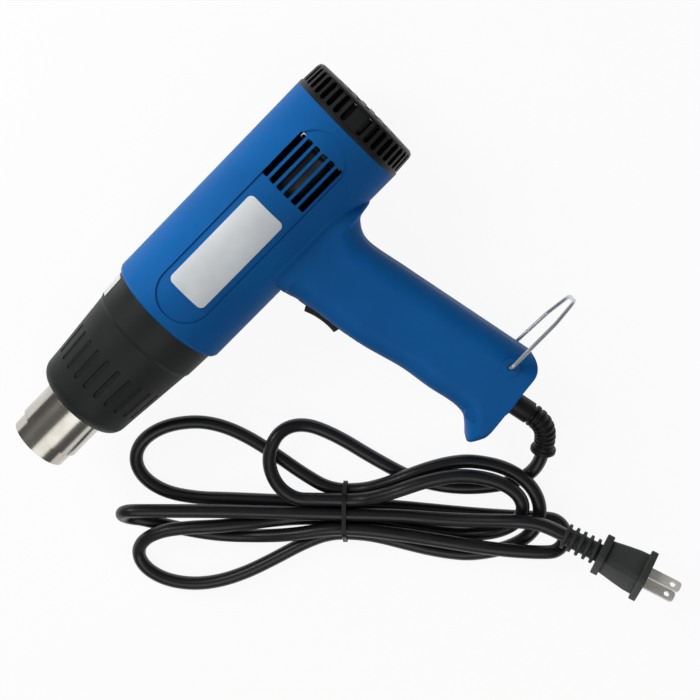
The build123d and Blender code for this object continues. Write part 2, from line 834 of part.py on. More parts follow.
def rocker_axle(radius, beyond):
    pivot = flange_thickness - rocker_pivot_depth
    reach = rocker_half_width + slip + beyond
    return post(pivot, 0, -reach, reach, radius)


def rocker_button():
    pivot = flange_thickness - rocker_pivot_depth
    top = flange_thickness + rocker_tip_height
    bottom = flange_thickness - rocker_skirt
    top_half = sqrt(rocker_swing_radius ** 2 - (top - pivot) ** 2)
    bottom_half = sqrt(rocker_swing_radius ** 2 - (bottom - pivot) ** 2)
    swing = [ThreePointArc((top, side * top_half), (pivot + sqrt(rocker_swing_radius ** 2 - share ** 2), side * share),
                           (bottom, side * bottom_half))
             for side, share in ((1, (top_half + bottom_half) / 2), (-1, (top_half + bottom_half) / 2))]
    dip = ThreePointArc((top, -top_half), (flange_thickness + rocker_dip_height, 0), (top, top_half))
    floor = Line((bottom, bottom_half), (bottom, -bottom_half))
    outline = make_face(dip + swing[0] + floor + swing[1])
    rocker = extrude(outline, amount=rocker_half_width, both=True)
    hub = post(pivot, 0, -rocker_half_width, rocker_half_width, rocker_hub_radius)
    return rocker + hub + rocker_axle(trunnion_radius, trunnion_length)


def switch_terminals():
    blades = []
    for place in (-1, 0, 1):
        blades.append(block(
            (-switch_depth - terminal_length, place * terminal_pitch - terminal_thickness / 2, -terminal_width / 2),
            (-switch_depth, place * terminal_pitch + terminal_thickness / 2, terminal_width / 2)))
    return Compound(blades)


# Bail, drawn with its pivot at the origin and its legs along X

def bail_wire():
    half = [(0, bail_half_width - bail_inner_end), (0, bail_half_width),
            (bail_bend_reach, bail_bend_half_width), (bail_reach, bail_tip_half_width)]
    points = [(x, 0, z) for x, z in half] + [(x, 0, -z) for x, z in reversed(half)]
    radii = [bail_corner, bail_bend_round, bail_tip_round, bail_tip_round, bail_bend_round, bail_corner]
    return bent_wire(points, radii, bail_wire_radius)


# Lead

def biarc(start, way_out, end, way_in):
    gap = end - start
    both = way_out + way_in
    spread = 1 - way_out.dot(way_in)
    if spread < 1e-9:
        return [Edge.make_line(start, end)]
    run = gap.dot(both)
    reach = (-run + sqrt(run ** 2 + 2 * spread * gap.dot(gap))) / (2 * spread)
    joint = (start + end + (way_out - way_in) * reach) * 0.5
    return [Edge.make_tangent_arc(start, way_out, joint), Edge.make_tangent_arc(end, way_in * -1, joint)]


def biarcs(points, tangents):
    edges = []
    for place in range(len(points) - 1):
        edges += biarc(points[place], tangents[place], points[place + 1], tangents[place + 1])
    return edges


def corner_radii(points):
    radii = []
    for before, here, after in zip(points, points[1:], points[2:]):
        into, out = Vector(*here) - Vector(*before), Vector(*after) - Vector(*here)
        turn = radians(into.get_angle(out))
        radii.append(bend_share * min(into.length, out.length) / tan(turn / 2))
    return radii


def free_stretch(name, points):
    radii = corner_radii(points)
    print(name, "radii", [round(radius, 1) for radius in radii])
    tube = bent_wire(points, radii, cord_radius)
    length = FilletPolyline(*points, radius=radii).length
    volume_share = tube.volume / (pi * cord_radius ** 2 * length)
    print(name, "length", round(length, 1), "volume share", round(volume_share, 4))
    return tube


def strand(name):
    across, height = strand_places[name]
    return across * waist_pitch / 2, height


def loop_points(sizes, heights):
    side, shoulder, nose, way_in, way_out, out_side, back_side, bow = sizes
    points = []
    for step in range(1, side_steps + 1):
        points.append(side_point(step / side_steps, shoulder, strand(way_in)[0], out_side, bow))
    middle, half = (out_side + back_side) / 2, (out_side - back_side) / 2
    for step in range(1, nose_steps):
        turn = pi * step / nose_steps
        points.append((shoulder + nose * sin(turn), middle + half * cos(turn)))
    for step in range(side_steps, 0, -1):
        points.append(side_point(step / side_steps, shoulder, strand(way_out)[0], back_side, 0.0))
    return [(side * u, v, height) for (u, v), height in zip(points, heights)]


def side_point(share, shoulder, waist_side, loop_side, bow):
    widening_share = sin(share * pi / 2) ** draw_in
    u = waist_half + (shoulder - waist_half) * share
    return u, waist_side + (loop_side - waist_side) * widening_share + bow * sin(pi * share)


def bundle_points():
    v, height = strand("lead")
    points = [(-waist_half - 2 * cord_radius, v, height), (-waist_half, v, height), (waist_half, v, height)]
    straight = [0, 1, 2]
    shoulders = []
    for sizes, heights in zip(loop_sizes, loop_heights):
        first = len(points)
        points += loop_points(sizes, heights)
        shoulders += [first + side_steps - 1, first + side_steps + nose_steps - 1]
        v, height = strand(sizes[4])
        straight += [len(points), len(points) + 1]
        points += [(sizes[0] * waist_half, v, height), (-sizes[0] * waist_half, v, height)]
    straight.append(len(points))
    points.append((waist_half + 2 * cord_radius, v, height))
    return [Vector(*point) for point in points], straight, shoulders


def bundle_tangents(points, straight, shoulders):
    tangents = []
    for place, point in enumerate(points):
        if place in straight:
            other = place + 1 if place + 1 in straight else place - 1
            way = (points[other] - point) * (other - place)
        else:
            into, out = point - points[place - 1], points[place + 1] - point
            way = into.normalized() * out.length + out.normalized() * into.length
            way = way.normalized()
            if place in shoulders:
                lead_way = into.X if abs(into.X) > abs(out.X) else out.X
                way = Vector(copysign(1, lead_way), 0, way.Z)
            if abs(point.Z - lay) < running:
                way = Vector(way.X, way.Y, 0)
        tangents.append(way.normalized())
    return tangents


def least_gap(edges):
    points, places, travelled = [], [], 0.0
    for edge in edges:
        count = max(1, ceil(edge.length / (cord_radius / 2)))
        for step in range(count):
            points.append(edge @ (step / count))
            places.append(travelled + edge.length * step / count)
        travelled += edge.length
    least = travelled
    for first, place in enumerate(places):
        for second in range(first + 1, len(places)):
            if places[second] - place > 5 * cord_radius:
                least = min(least, (points[first] - points[second]).length)
    return least - 2 * cord_radius


def in_order(edges, start):
    ordered = []
    for edge in edges:
        forward = (edge @ 0 - start).length < (edge @ 1 - start).length
        ordered.append(edge if forward else edge.reversed())
        start = edge @ 1 if forward else edge @ 0
    return ordered


def cord_hank():
    points, straight, shoulders = bundle_points()
    tangents = bundle_tangents(points, straight, shoulders)
    edges = in_order(biarcs(points, tangents), points[0])
    path = Wire(edges)
    tube = sweep(Plane(origin=points[0], z_dir=tangents[0]) * Circle(cord_radius), path=path)
    print("cord_hank length", round(path.length, 1), "least gap", round(least_gap(edges), 2),
          "volume share", round(tube.volume / (pi * cord_radius ** 2 * path.length), 4))
    return tube


def relief_path(place_of_end):
    end, way_in = place_of_end
    root = relief_plane()
    straight_end = root.origin + root.z_dir * relief_plain_length
    arcs = biarc(straight_end, root.z_dir, end, way_in)
    return [Edge.make_line(root.origin, straight_end)] + in_order(arcs, straight_end)


def relief_end():
    start, following = Vector(*lead_points[0]), Vector(*lead_points[1])
    place = to_tool(start)
    return place, (to_tool(following) - place).normalized()


def to_tool(point):
    world = Vector(*bundle_place, 0) + point.rotate(Axis.Z, bundle_turn)
    return (world - Vector(0, 0, barrel_radius)).rotate(Axis.X, -degrees(roll))


def strain_relief():
    edges = relief_path(relief_end())
    path = Wire(edges)
    root = relief_plane()
    inside = housing_wall + relief_flange_gap + relief_flange_thickness
    relief = root * Pos(0, 0, relief_plain_length / 2 - inside / 2) * Cylinder(
        relief_radius, relief_plain_length + inside)
    relief += root * Pos(0, 0, -inside + relief_flange_thickness / 2) * Cylinder(
        relief_flange_radius, relief_flange_thickness)
    relief += sweep(root * Circle(relief_core_radius), path=path)
    ribbed = path.length - relief_plain_length - relief_head_length
    for rib in range(relief_ribs):
        share = (relief_plain_length + ribbed * (rib + 1 / 2) / relief_ribs) / path.length
        place = Plane(origin=path @ share, z_dir=path % share)
        relief += place * Cylinder(relief_rib_radius, ribbed / relief_ribs * relief_rib_share)
    end = Plane(origin=path @ 1, z_dir=path % 1)
    head = Pos(0, 0, -relief_head_length / 2) * Cylinder(relief_head_radius, relief_head_length)
    return relief + end * head


def cord_tail():
    inside = housing_wall + relief_flange_gap + relief_flange_thickness
    return relief_plane() * Pos(0, 0, -inside - slip - tail_length / 2) * Cylinder(cord_radius, tail_length)


def cord_clamp():
    bar = block((0, -clamp_length / 2, -clamp_width / 2), (clamp_height, clamp_length / 2, clamp_width / 2))
    bar -= Cylinder(cord_radius + running, 2 * clamp_width)
    for side in (-1, 1):
        hole = Rot(0, 90, 0) * Cylinder(clamp_screw_radius + slip, 3 * clamp_height)
        bar -= Pos(0, side * clamp_spread, 0) * hole
    return clamp_place() * bar


def clamp_screws():
    screws = []
    for side in (-1, 1):
        place = clamp_place() * Pos(clamp_height, side * clamp_spread, 0) * Rot(0, 90, 0)
        shank = Pos(0, 0, -clamp_screw_length / 2) * Cylinder(clamp_screw_radius, clamp_screw_length)
        head = Pos(0, 0, clamp_head_height / 2) * Cylinder(clamp_head_radius, clamp_head_height)
        screws.append(place * (shank + head))
    return Compound(screws)


def wire_harness():
    inside = housing_wall + relief_flange_gap + relief_flange_thickness
    tail = relief_plane() * Pos(0, 0, -inside - 2 * slip - tail_length)
    first, second = [tuple((tail * Pos(side * cord_radius / 2, 0, 0)).position) for side in (1, -1)]
    tab_end = -switch_depth - terminal_length - wire_gap
    tabs = [tuple((switch_plane() * Pos(tab_end, place * terminal_pitch, 0)).position) for place in (1, 0, -1)]
    board = circuit_front + circuit_thickness + slip
    seat = -circuit_radius + diode_radius
    routes = [
        [first, *live_route, tabs[0]],
        [second, *neutral_route, (board, seat, -diode_radius)],
        [tabs[2], *switched_route, (board, seat, 2 * diode_radius)],
        [tabs[1], *heater_route, (base_rear + slip, -base_radius / 2 - base_rim, 0)]]
    return Compound([bent_wire(route, corner_radii(route), wire_radius) for route in routes])


# Plug, drawn along Z from the end of the lead

def plug_section(height, half_width, half_height):
    return Pos(0, 0, height) * RectangleRounded(2 * half_width, 2 * half_height, plug_round)


def plug_body():
    neck = plug_relief_length + plug_flange_thickness
    face = neck + plug_body_length
    body = extrude(plug_section(plug_relief_length, plug_flange_half_width, plug_flange_half_height),
                   amount=plug_flange_thickness)
    body += loft([
        plug_section(neck - overrun, plug_neck_half_width, plug_neck_half_height),
        plug_section(neck + plug_body_length / 2,
                     plug_waist_half_width - overrun, plug_waist_half_height - overrun / 2),
        plug_section(face, plug_waist_half_width, plug_waist_half_height)])
    body += extrude(plug_section(face, plug_face_half_width, plug_face_half_height),
                    amount=plug_face_thickness)
    body += Pos(0, 0, plug_relief_length / 2) * Cylinder(plug_relief_radius, plug_relief_length)
    pitch = plug_relief_length / plug_fins
    for fin in range(plug_fins):
        middle = pitch * fin + plug_fin_thickness / 2
        body += Pos(0, 0, middle) * Cylinder(plug_fin_radius, plug_fin_thickness)
    for side in (-1, 1):
        body -= plug_blade(side, running)
    return body


def plug_blade(side, gap):
    face = plug_relief_length + plug_flange_thickness + plug_body_length + plug_face_thickness
    half_gauge, half_width = blade_gauge / 2 + gap, blade_width / 2 + gap
    blade = block((-half_gauge, -half_width, face - blade_root - gap),
                  (half_gauge, half_width, face + blade_length))
    if not gap:
        tip = blade.faces().sort_by(Axis.Z)[-1].edges().filter_by(Axis.X)
        blade = fillet(tip, blade_tip_round)
        hole = Rot(0, 90, 0) * Cylinder(blade_hole_radius, 2 * blade_gauge)
        blade -= Pos(0, 0, face + blade_hole_place) * hole
    return Pos(side * blade_spacing / 2, 0, 0) * blade


def plug_blades():
    return Compound([plug_blade(side, 0) for side in (-1, 1)])


def plug_place():
    turn = radians(plug_roll)
    along = (Vector(*plug_points[-1]) - Vector(*plug_points[-2])).normalized()
    level = Vector(0, 0, 1).cross(along).normalized()
    across = level * cos(turn) + along.cross(level) * sin(turn)
    return Plane(origin=plug_points[-1], x_dir=across, z_dir=along)


# Tie round the strands in the middle of the bundle

def twist_tie():
    gap = cord_radius + slip
    outer = gap + tie_thickness
    ends = [strand_places[name] for name in strand_places]
    low = [across * waist_pitch / 2 for across, height in ends if height == waist_low]
    high = [across * waist_pitch / 2 for across, height in ends if height == waist_high]
    corners = [(min(low), waist_low), (max(low), waist_low), (max(high), waist_high), (min(high), waist_high)]
    core = make_hull([edge for v, z in corners for edge in (Pos(v, z) * Circle(gap)).edges()])
    skin = make_hull([edge for v, z in corners for edge in (Pos(v, z) * Circle(outer)).edges()])
    band = extrude(Plane.YZ * (skin - core), amount=tie_width / 2, both=True)
    return band


def place_tool(node):
    return Pos(0, 0, barrel_radius) * Rot(degrees(roll), 0, 0) * node


def place_bundle(node):
    return Pos(*bundle_place, 0) * Rot(0, 0, bundle_turn) * node


bail_place = Pos(bail_behind, -bail_below, 0)
left_half, right_half = housing_halves()
tool_nodes = {
    "housing_left": left_half,
    "housing_right": right_half,
    "housing_screws": housing_screws(),
    "label_plate": label_plate(),
    "front_collar": front_collar(),
    "collar_sticker": collar_sticker(),
    "nozzle_tube": nozzle_tube(),
    "mica_sleeve": mica_sleeve(),
    "heater_frame": heater_frame(),
    "heater_coil": heater_coil(),
    "heater_base_disc": heater_base_disc(),
    "thermal_cutout": thermal_cutout(),
    "air_duct": air_duct(),
    "fan_impeller": fan_impeller(),
    "motor_shaft": motor_shaft(),
    "motor_mount": motor_mount(),
    "motor_can": motor_can(),
    "circuit_board": circuit_board(),
    "rear_cap": rear_cap(),
    "intake_screen": intake_screen(),
    "switch_body": switch_plane() * switch_body(),
    "rocker_button": switch_plane() * rocker_button(),
    "switch_terminals": switch_plane() * switch_terminals(),
    "bail_wire": bail_place * bail_wire(),
    "cord_tail": cord_tail(),
    "cord_clamp": cord_clamp(),
    "clamp_screws": clamp_screws(),
    "wire_harness": wire_harness()}
cord_nodes = {
    "strain_relief": place_tool(strain_relief()),
    "power_lead": place_bundle(free_stretch("power_lead", lead_points)),
    "cord_hank": place_bundle(cord_hank()),
    "plug_lead": place_bundle(free_stretch("plug_lead", plug_points)),
    "twist_tie": place_bundle(twist_tie()),
    "plug_body": place_bundle(plug_place() * plug_body()),
    "plug_blades": place_bundle(plug_place() * plug_blades())}
nodes = {name: place_tool(node) for name, node in tool_nodes.items()}
boxes = [node.bounding_box() for node in nodes.values()]
origin = Vector((min(box.min.X for box in boxes) + max(box.max.X for box in boxes)) / 2,
                (min(box.min.Y for box in boxes) + max(box.max.Y for box in boxes)) / 2,
                min(box.min.Z for box in boxes))
nodes.update(cord_nodes)
print("origin in the barrel's frame", origin, "roll", round(degrees(roll), 3))


def report_place(name, place, axis):
    world = (place_tool(Location(place)).position - origin)
    way = Vector(*axis).rotate(Axis.X, degrees(roll))
    print(name, [round(value, 3) for value in world], [round(value, 5) for value in way])


pivot = switch_plane() * Pos(flange_thickness - rocker_pivot_depth, 0, 0)
report_place("nozzle tip", (-nozzle_reach, 0, 0), (-1, 0, 0))
report_place("fan axis", (fan_front, 0, 0), (1, 0, 0))
report_place("rocker pivot", tuple(pivot.position), (0, 0, 1))
report_place("bail pivot", (bail_behind, -bail_below, 0), (0, 0, 1))
os.makedirs("parts", exist_ok=True)
for name, node in nodes.items():
    export_step(Pos(*(origin * -1)) * node, os.path.join("parts", name + ".step"))
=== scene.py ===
from math import cos, pi, radians, sin

import bpy
from mathutils import Matrix, Vector


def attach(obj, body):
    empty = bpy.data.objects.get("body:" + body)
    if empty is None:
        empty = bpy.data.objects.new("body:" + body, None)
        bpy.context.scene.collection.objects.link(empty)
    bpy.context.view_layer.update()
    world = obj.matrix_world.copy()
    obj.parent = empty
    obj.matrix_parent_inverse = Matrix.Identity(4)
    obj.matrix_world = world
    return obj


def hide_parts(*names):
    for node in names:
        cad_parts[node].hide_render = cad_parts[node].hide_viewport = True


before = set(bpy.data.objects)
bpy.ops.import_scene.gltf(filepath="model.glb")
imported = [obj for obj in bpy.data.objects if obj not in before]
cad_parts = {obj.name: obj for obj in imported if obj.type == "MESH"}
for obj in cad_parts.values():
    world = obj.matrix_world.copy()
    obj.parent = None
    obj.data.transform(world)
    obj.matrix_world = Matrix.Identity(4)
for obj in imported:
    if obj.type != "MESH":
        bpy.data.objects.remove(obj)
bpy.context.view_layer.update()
mm = 0.001
print("frame loaded:", len(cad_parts), "nodes")


# Camera: almost straight above the tool, turned so that the nozzle points to the lower left

cameraSettings = {
    "place": (0.138986, 0.008427, 0.770059),
    "right": (0.70431, -0.70522, -0.08134),
    "up": (0.69407, 0.70813, -0.12968),
    "back": (0.14905, 0.03489, 0.98822),
    "lens": 69.33,
    "sensor": 36.0,
    "nearest": 0.01,
}


def addCamera():
    data = bpy.data.cameras.new("bench_camera")
    data.lens = cameraSettings["lens"]
    data.sensor_width = cameraSettings["sensor"]
    data.clip_start = cameraSettings["nearest"]
    camera = bpy.data.objects.new("bench_camera", data)
    bpy.context.scene.collection.objects.link(camera)
    columns = [Vector(cameraSettings[key]) for key in ("right", "up", "back")]
    turn = Matrix(columns).transposed().to_4x4()
    camera.matrix_world = Matrix.Translation(cameraSettings["place"]) @ turn
    bpy.context.scene.camera = camera


addCamera()
print("camera set")


# Shader fields: values that flow through a finish's nodes

class Field:
    def __init__(self, finish, socket):
        self.finish = finish
        self.socket = socket

    def math(self, operation, first, second=0.0):
        return self.finish.node("ShaderNodeMath", {"operation": operation}, {0: first, 1: second})

    def __add__(self, other):
        return self.math("ADD", self, other)

    def __radd__(self, other):
        return self.math("ADD", other, self)

    def __sub__(self, other):
        return self.math("SUBTRACT", self, other)

    def __rsub__(self, other):
        return self.math("SUBTRACT", other, self)

    def __mul__(self, other):
        return self.math("MULTIPLY", self, other)

    def __rmul__(self, other):
        return self.math("MULTIPLY", other, self)

    def __abs__(self):
        return self.math("ABSOLUTE", self)

    def clamp(self):
        return self.finish.node("ShaderNodeClamp", {}, {0: self, 1: 0.0, 2: 1.0})


class Finish:
    def __init__(self, owner):  # owner is a material, or the world
        owner.use_nodes = True
        self.owner = owner
        self.tree = owner.node_tree
        self.tree.nodes.clear()

    def node(self, kind, settings, sockets, output=0):
        made = self.tree.nodes.new(kind)
        for key, value in settings.items():
            setattr(made, key, value)
        for key, value in sockets.items():
            if isinstance(value, Field):
                self.tree.links.new(value.socket, made.inputs[key])
            else:
                made.inputs[key].default_value = value
        return Field(self, made.outputs[output]) if made.outputs else None

    def spot(self):
        return self.node("ShaderNodeTexCoord", {}, {}, "Object")

    def place(self, stretch=(1.0, 1.0, 1.0)):
        return self.node("ShaderNodeMapping", {}, {"Vector": self.spot(), "Scale": stretch})

    def grain(self, scale, detail, rough=0.5, stretch=(1.0, 1.0, 1.0)):
        return self.node("ShaderNodeTexNoise", {}, {
            "Vector": self.place(stretch), "Scale": scale, "Detail": detail, "Roughness": rough}, "Fac")

    def mix(self, share, first, second):
        return self.node("ShaderNodeMix", {"data_type": "RGBA"}, {0: share, 6: first, 7: second}, 2)

    def ramp(self, value, low, high):
        return self.node("ShaderNodeMapRange", {"clamp": True}, {0: value, 1: low, 2: high, 3: 0.0, 4: 1.0})

    def bump(self, height, depth, strength, under=None):
        sockets = {"Height": height, "Distance": depth, "Strength": strength}
        if under:
            sockets["Normal"] = under
        return self.node("ShaderNodeBump", {}, sockets)

    def close(self, sockets):
        shader = self.node("ShaderNodeBsdfPrincipled", {}, sockets)
        self.node("ShaderNodeOutputMaterial", {}, {"Surface": shader})
        return self.owner


def newFinish(name):
    return Finish(bpy.data.materials.new(name))


def shade(red, green, blue):  # screen values, 0 to 255, made linear
    linear = []
    for part in (red / 255, green / 255, blue / 255):
        linear.append(part / 12.92 if part <= 0.04045 else ((part + 0.055) / 1.055) ** 2.4)
    return (*linear, 1.0)


# Moulded plastics: fine spark grain, faint cloudiness, a little handling shine
# In every finish's settings a noise is its scale, detail and roughness, and a range is where it counts

plasticPattern = {
    "cloudNoise": (26.0, 3.0),
    "cloudRange": (0.35, 0.68),
    "rubbedNoise": (9.0, 4.0, 0.6),
    "rubbedRange": (0.42, 0.66),
    "speckNoise": (900.0, 1.0),
    "speckRange": (0.7, 0.78),
    "speckShare": 0.12,
    "speckGain": 1.35,
    "speckLift": 8,
    "fineNoise": (2300.0, 2.0),
    "fineRough": 0.05,
    "fineStrength": 0.8,
    "waveNoise": (120.0, 2.0),
    "waveDepth": 0.00002,
    "waveStrength": 0.5,
    "ior": 1.5,
    "specular": 0.4,
}
plasticSettings = {  # colours, roughness from rubbed to dull, depth of the grain
    "blueHousing": {"body": (4, 92, 161), "cloud": (4, 86, 152),
                    "low": 0.52, "high": 0.62, "grain": 0.000008, "specular": 0.18},
    "blackCollar": {"body": (26, 31, 28), "cloud": (21, 25, 23),
                    "low": 0.46, "high": 0.58, "grain": 0.000014},
    "blackPlastic": {"body": (20, 23, 21), "cloud": (15, 17, 16),
                     "low": 0.42, "high": 0.54, "grain": 0.00001},
    "ductPlastic": {"body": (30, 31, 34), "cloud": (24, 25, 28),
                    "low": 0.5, "high": 0.62, "grain": 0.00001},
    "fanPlastic": {"body": (44, 46, 50), "cloud": (34, 36, 40),
                   "low": 0.4, "high": 0.52, "grain": 0.00001},
    "plugPlastic": {"body": (54, 56, 55), "cloud": (46, 48, 47),
                    "low": 0.5, "high": 0.62, "grain": 0.000014},
    "reliefRubber": {"body": (20, 20, 21), "cloud": (14, 14, 15),
                     "low": 0.42, "high": 0.56, "grain": 0.000012},
    "tieBlack": {"body": (20, 20, 21), "cloud": (14, 14, 15),
                 "low": 0.36, "high": 0.46, "grain": 0.000006},
    "stickerWhite": {"body": (196, 197, 199), "cloud": (187, 189, 192),
                     "low": 0.32, "high": 0.42, "grain": 0.000003},
    "wireWhite": {"body": (222, 220, 212), "cloud": (206, 203, 194),
                  "low": 0.4, "high": 0.5, "grain": 0.000006},
}
seamSettings = {  # parting line round the blue shell, a plane through the barrel's middle
    "middle": (0.0, 0.06863, 0.036),
    "lean": 4.653,
    "half": 0.00012,
    "soft": 0.0001,
    "share": 0.75,
    "dark": 0.4,
    "depth": 0.0003,
    "strength": 0.8,
}


def plasticGrain(finish, look):
    cloud = finish.ramp(finish.grain(*look["cloudNoise"]), *look["cloudRange"])
    rubbed = finish.ramp(finish.grain(*look["rubbedNoise"]), *look["rubbedRange"])
    speck = finish.ramp(finish.grain(*look["speckNoise"]), *look["speckRange"])
    fine = finish.grain(*look["fineNoise"])
    pale = shade(*[min(255, look["speckGain"] * c + look["speckLift"]) for c in look["body"]])
    colour = finish.mix(cloud, shade(*look["cloud"]), shade(*look["body"]))
    colour = finish.mix(speck * look["speckShare"], colour, pale)
    rough = look["high"] - (look["high"] - look["low"]) * rubbed + look["fineRough"] * (fine - 0.5)
    normal = finish.bump(fine, look["grain"], look["fineStrength"])
    wave = finish.grain(*look["waveNoise"])
    return colour, rough, finish.bump(wave, look["waveDepth"], look["waveStrength"], normal)


def partingLine(finish, look, colour, normal):
    seam = seamSettings
    lean = radians(seam["lean"])
    level = finish.node("ShaderNodeVectorMath", {"operation": "SUBTRACT"},
                        {0: finish.spot(), 1: seam["middle"]})
    beside = finish.node("ShaderNodeVectorMath", {"operation": "DOT_PRODUCT"},
                         {0: level, 1: (0.0, -sin(lean), cos(lean))}, "Value")
    line = 1.0 - finish.ramp(abs(beside), seam["half"], seam["half"] + seam["soft"])
    colour = finish.mix(line * seam["share"], colour, shade(*[c * seam["dark"] for c in look["body"]]))
    return colour, finish.bump(1.0 - line, seam["depth"], seam["strength"], normal)


def mouldedPlastic(name):
    look = {**plasticPattern, **plasticSettings[name]}
    finish = newFinish(name)
    colour, rough, normal = plasticGrain(finish, look)
    if name == "blueHousing":
        colour, normal = partingLine(finish, look, colour, normal)
    return finish.close({"Base Color": colour, "Roughness": rough, "Normal": normal,
                         "IOR": look["ior"], "Specular IOR Level": look["specular"]})


# Cord rubber: smooth extruded jacket, slight sheen, faint waviness

jacketSettings = {
    "body": (18, 18, 19),
    "worn": (28, 28, 29),
    "shine": 0.34,
    "dull": 0.46,
    "wornNoise": (70.0, 3.0),
    "wornRange": (0.52, 0.74),
    "wornShare": 0.5,
    "fineNoise": (1500.0, 2.0),
    "fineRough": 0.05,
    "fineDepth": 0.000006,
    "fineStrength": 0.7,
    "waveNoise": (110.0, 1.0),
    "waveDepth": 0.00005,
    "waveStrength": 0.5,
    "ior": 1.52,
}


def cordRubber(name):
    look = jacketSettings
    finish = newFinish(name)
    worn = finish.ramp(finish.grain(*look["wornNoise"]), *look["wornRange"])
    fine = finish.grain(*look["fineNoise"])
    colour = finish.mix(worn * look["wornShare"], shade(*look["body"]), shade(*look["worn"]))
    rough = look["shine"] + (look["dull"] - look["shine"]) * worn + look["fineRough"] * (fine - 0.5)
    normal = finish.bump(fine, look["fineDepth"], look["fineStrength"])
    normal = finish.bump(finish.grain(*look["waveNoise"]), look["waveDepth"], look["waveStrength"], normal)
    return finish.close({"Base Color": colour, "Roughness": rough, "Normal": normal, "IOR": look["ior"]})


# Metals: turning and brushing marks are closest along the axis with the largest stretch

metalPattern = {
    "marksNoise": (1.0, 3.0, 0.6),
    "toneNoise": (34.0, 3.0),
    "toneRange": (0.4, 0.68),
    "strength": 0.6,
    "metallic": 1.0,
}
metalSettings = {
    "nozzleSteel": {"body": (218, 217, 213), "tone": (192, 187, 178), "low": 0.13, "high": 0.26,
                    "stretch": (3200.0, 26.0, 26.0), "depth": 0.000004},
    "bailSteel": {"body": (222, 224, 226), "tone": (192, 194, 198), "low": 0.26, "high": 0.36,
                  "stretch": (300.0, 300.0, 300.0), "depth": 0.0000006, "metallic": 0.7},
    "bladeNickel": {"body": (244, 242, 234), "tone": (226, 224, 216), "low": 0.28, "high": 0.4,
                    "stretch": (200.0, 900.0, 200.0), "depth": 0.0000004, "metallic": 0.3},
    "labelSilver": {"body": (226, 230, 232), "tone": (210, 215, 219), "low": 0.4, "high": 0.52,
                    "stretch": (60.0, 3000.0, 60.0), "depth": 0.000002, "metallic": 0.15},
    "zincScrew": {"body": (196, 196, 190), "tone": (160, 160, 152), "low": 0.28, "high": 0.42,
                  "stretch": (600.0, 600.0, 600.0), "depth": 0.000006},
    "screenSteel": {"body": (52, 53, 55), "tone": (36, 37, 39), "low": 0.34, "high": 0.46,
                    "stretch": (400.0, 400.0, 400.0), "depth": 0.000006},
    "motorSteel": {"body": (96, 98, 100), "tone": (70, 72, 74), "low": 0.28, "high": 0.42,
                   "stretch": (2400.0, 40.0, 40.0), "depth": 0.000006},
    "heaterWire": {"body": (120, 108, 98), "tone": (78, 66, 62), "low": 0.4, "high": 0.58,
                   "stretch": (900.0, 900.0, 900.0), "depth": 0.000008},
    "cutoutCan": {"body": (182, 180, 170), "tone": (150, 148, 138), "low": 0.3, "high": 0.42,
                  "stretch": (1500.0, 60.0, 60.0), "depth": 0.000005},
    "brassTab": {"body": (204, 176, 104), "tone": (168, 138, 74), "low": 0.24, "high": 0.38,
                 "stretch": (400.0, 1800.0, 400.0), "depth": 0.000004},
}


def workedMetal(name):
    look = {**metalPattern, **metalSettings[name]}
    finish = newFinish(name)
    marks = finish.grain(*look["marksNoise"], look["stretch"])
    tone = finish.ramp(finish.grain(*look["toneNoise"]), *look["toneRange"])
    colour = finish.mix(tone, shade(*look["tone"]), shade(*look["body"]))
    rough = look["low"] + (look["high"] - look["low"]) * marks
    normal = finish.bump(marks, look["depth"], look["strength"])
    return finish.close({"Base Color": colour, "Roughness": rough, "Normal": normal,
                         "Metallic": look["metallic"]})


# Mica, ceramic and board of the heater and the motor

sheetPattern = {
    "flakeRange": (0.1, 0.7),
    "depth": 0.00003,
    "strength": 0.4,
    "fineNoise": (400.0, 2.0),
    "fineRough": 0.12,
}
sheetSettings = {
    "micaSheet": {"body": (190, 170, 128), "tone": (148, 124, 86), "rough": 0.4, "scale": 160.0},
    "ceramicWhite": {"body": (226, 222, 212), "tone": (204, 198, 186), "rough": 0.6, "scale": 220.0},
    "circuitGreen": {"body": (34, 92, 60), "tone": (26, 74, 48), "rough": 0.36, "scale": 300.0},
}


def layeredSheet(name):
    look = {**sheetPattern, **sheetSettings[name]}
    finish = newFinish(name)
    flake = finish.node("ShaderNodeTexVoronoi", {},
                        {"Vector": finish.place(), "Scale": look["scale"]}, "Distance")
    spread = finish.ramp(flake, *look["flakeRange"])
    colour = finish.mix(spread, shade(*look["tone"]), shade(*look["body"]))
    rough = look["rough"] + look["fineRough"] * (finish.grain(*look["fineNoise"]) - 0.5)
    normal = finish.bump(flake, look["depth"], look["strength"])
    return finish.close({"Base Color": colour, "Roughness": rough, "Normal": normal})


finishes = {name: mouldedPlastic(name) for name in plasticSettings}
finishes.update({name: workedMetal(name) for name in metalSettings})
finishes.update({name: layeredSheet(name) for name in sheetSettings})
finishes["cordRubber"] = cordRubber("cordRubber")
print("finishes made:", len(finishes))

